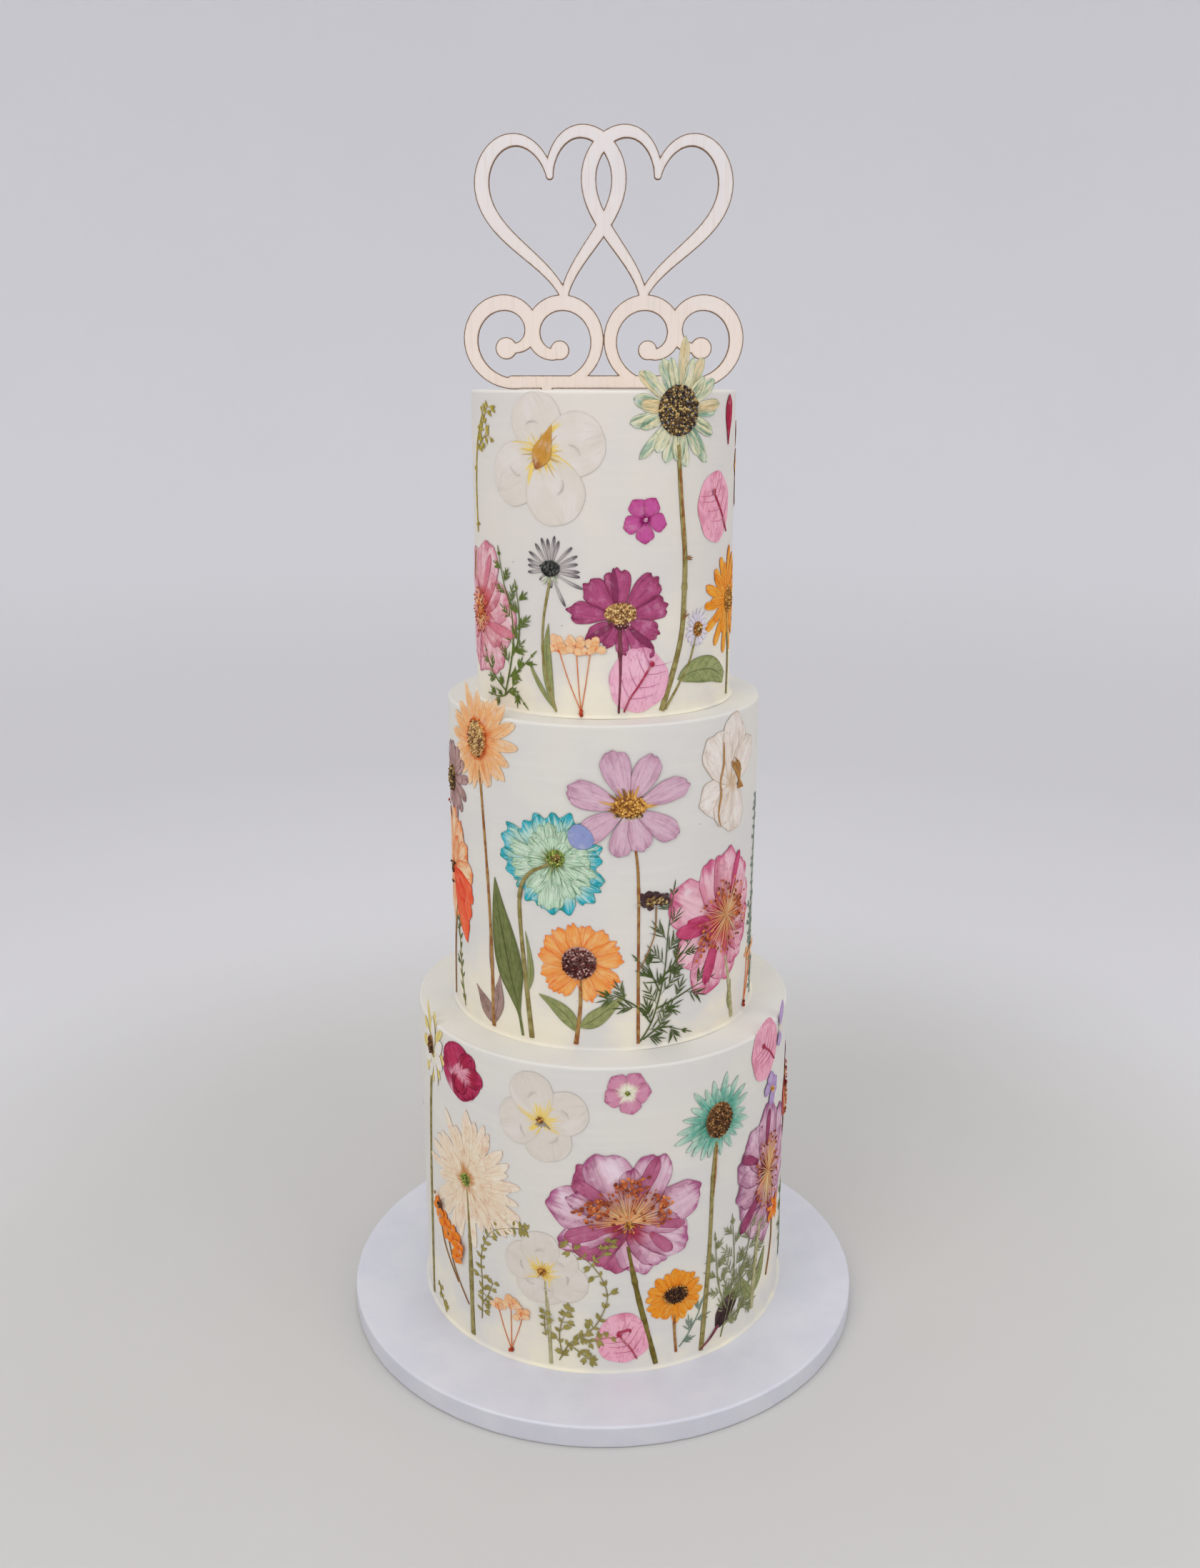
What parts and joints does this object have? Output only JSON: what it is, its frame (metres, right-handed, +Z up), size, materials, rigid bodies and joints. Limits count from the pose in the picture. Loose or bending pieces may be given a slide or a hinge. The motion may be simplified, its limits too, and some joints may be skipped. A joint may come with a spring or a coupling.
{
  "type": "tiered wedding cake",
  "caption": "Tall round tiered wedding cake in smooth pale icing with pressed flowers laid flat on its sides, a cut-out wooden topper and a round board.",
  "frame": {"origin": "centre of the underside of the cake board", "axes": "+Z up through the tiers; the front, with the topper's face, looks towards -Y; +X to the right seen from the front"},
  "size_m": [0.3048, 0.3048, 0.667],
  "materials": {
    "board_foil": "embossed pearly foil paper over card, semi-gloss",
    "icing": "smoothed buttercream, soft satin, slightly translucent",
    "plywood": "pale birch ply, sanded, with dark burnt cut edges",
    "fern_green": "pressed fern",
    "leaf_green": "pressed leaf",
    "petal_cream": "dried petal with fine veins",
    "petal_magenta": "dried petal with dark edges",
    "petal_orange": "dried petal",
    "petal_pale_pink": "dried petal with fine veins",
    "petal_peach": "dried ray petals",
    "petal_pink": "veined dried bract",
    "petal_purple": "dried petal",
    "petal_red": "dried petal",
    "petal_turquoise": "dyed dried petal",
    "petal_violet": "thin dried ray petals",
    "petal_white": "translucent dried petal",
    "petal_yellow": "dried ray petals",
    "sprig_olive": "dried stem and leaflets"
  },
  "bodies": {
    "root": {"cake_board": "board_foil", "tier_bottom": "icing", "tier_middle": "icing", "tier_top": "icing", "topper": "plywood", "top_pansy_white": "petal_white", "top_daisy_green": "sprig_olive", "top_phlox_magenta": "petal_magenta", "top_bract_pink": "petal_pink", "top_petal_red": "petal_red", "top_rose_pink": "petal_pink", "top_aster_violet": "petal_violet", "top_cosmos_magenta": "petal_magenta", "top_umbel_orange": "petal_orange", "top_bract_veined": "petal_pink", "top_daisy_small": "petal_violet", "top_calendula_orange": "petal_orange", "top_sprig_olive": "sprig_olive", "top_back_poppy": "petal_orange", "top_back_pansy": "petal_purple", "top_back_daisy": "petal_white", "top_back_peony": "petal_pink", "middle_daisy_peach": "petal_peach", "middle_daisy_brown": "petal_purple", "middle_flower_orange": "petal_orange", "middle_carnation_turquoise": "petal_turquoise", "middle_cosmos_pale": "petal_pale_pink", "middle_freesia_cream": "petal_cream", "middle_peony_magenta": "petal_magenta", "middle_helenium_orange": "petal_orange", "middle_leaf_green": "leaf_green", "middle_fern_dark": "fern_green", "middle_sprig_blue": "petal_turquoise", "middle_back_carnation": "petal_red", "middle_back_rudbeckia": "petal_yellow", "middle_back_cosmos": "petal_pale_pink", "middle_back_pansy": "petal_purple", "middle_back_peony": "petal_pink", "bottom_petal_magenta": "petal_magenta", "bottom_pansy_white": "petal_white", "bottom_phlox_pink": "petal_pink", "bottom_daisy_teal": "petal_turquoise", "bottom_bract_pink": "petal_pink", "bottom_peony_purple": "petal_purple", "bottom_peony_pink": "petal_magenta", "bottom_dahlia_cream": "petal_cream", "bottom_sprig_olive": "sprig_olive", "bottom_thyme_curved": "sprig_olive", "bottom_pansy_small": "petal_white", "bottom_thyme_low": "leaf_green", "bottom_umbel_orange": "petal_orange", "bottom_bract_round": "petal_pink", "bottom_calendula_orange": "petal_orange", "bottom_fern_tall": "fern_green", "bottom_back_rose": "petal_red", "bottom_back_daisy": "petal_white", "bottom_back_pansy": "petal_purple", "bottom_back_cosmos": "petal_pale_pink", "bottom_back_helenium": "petal_orange", "bottom_back_peony": "petal_pink"}
  },
  "joints": []
}
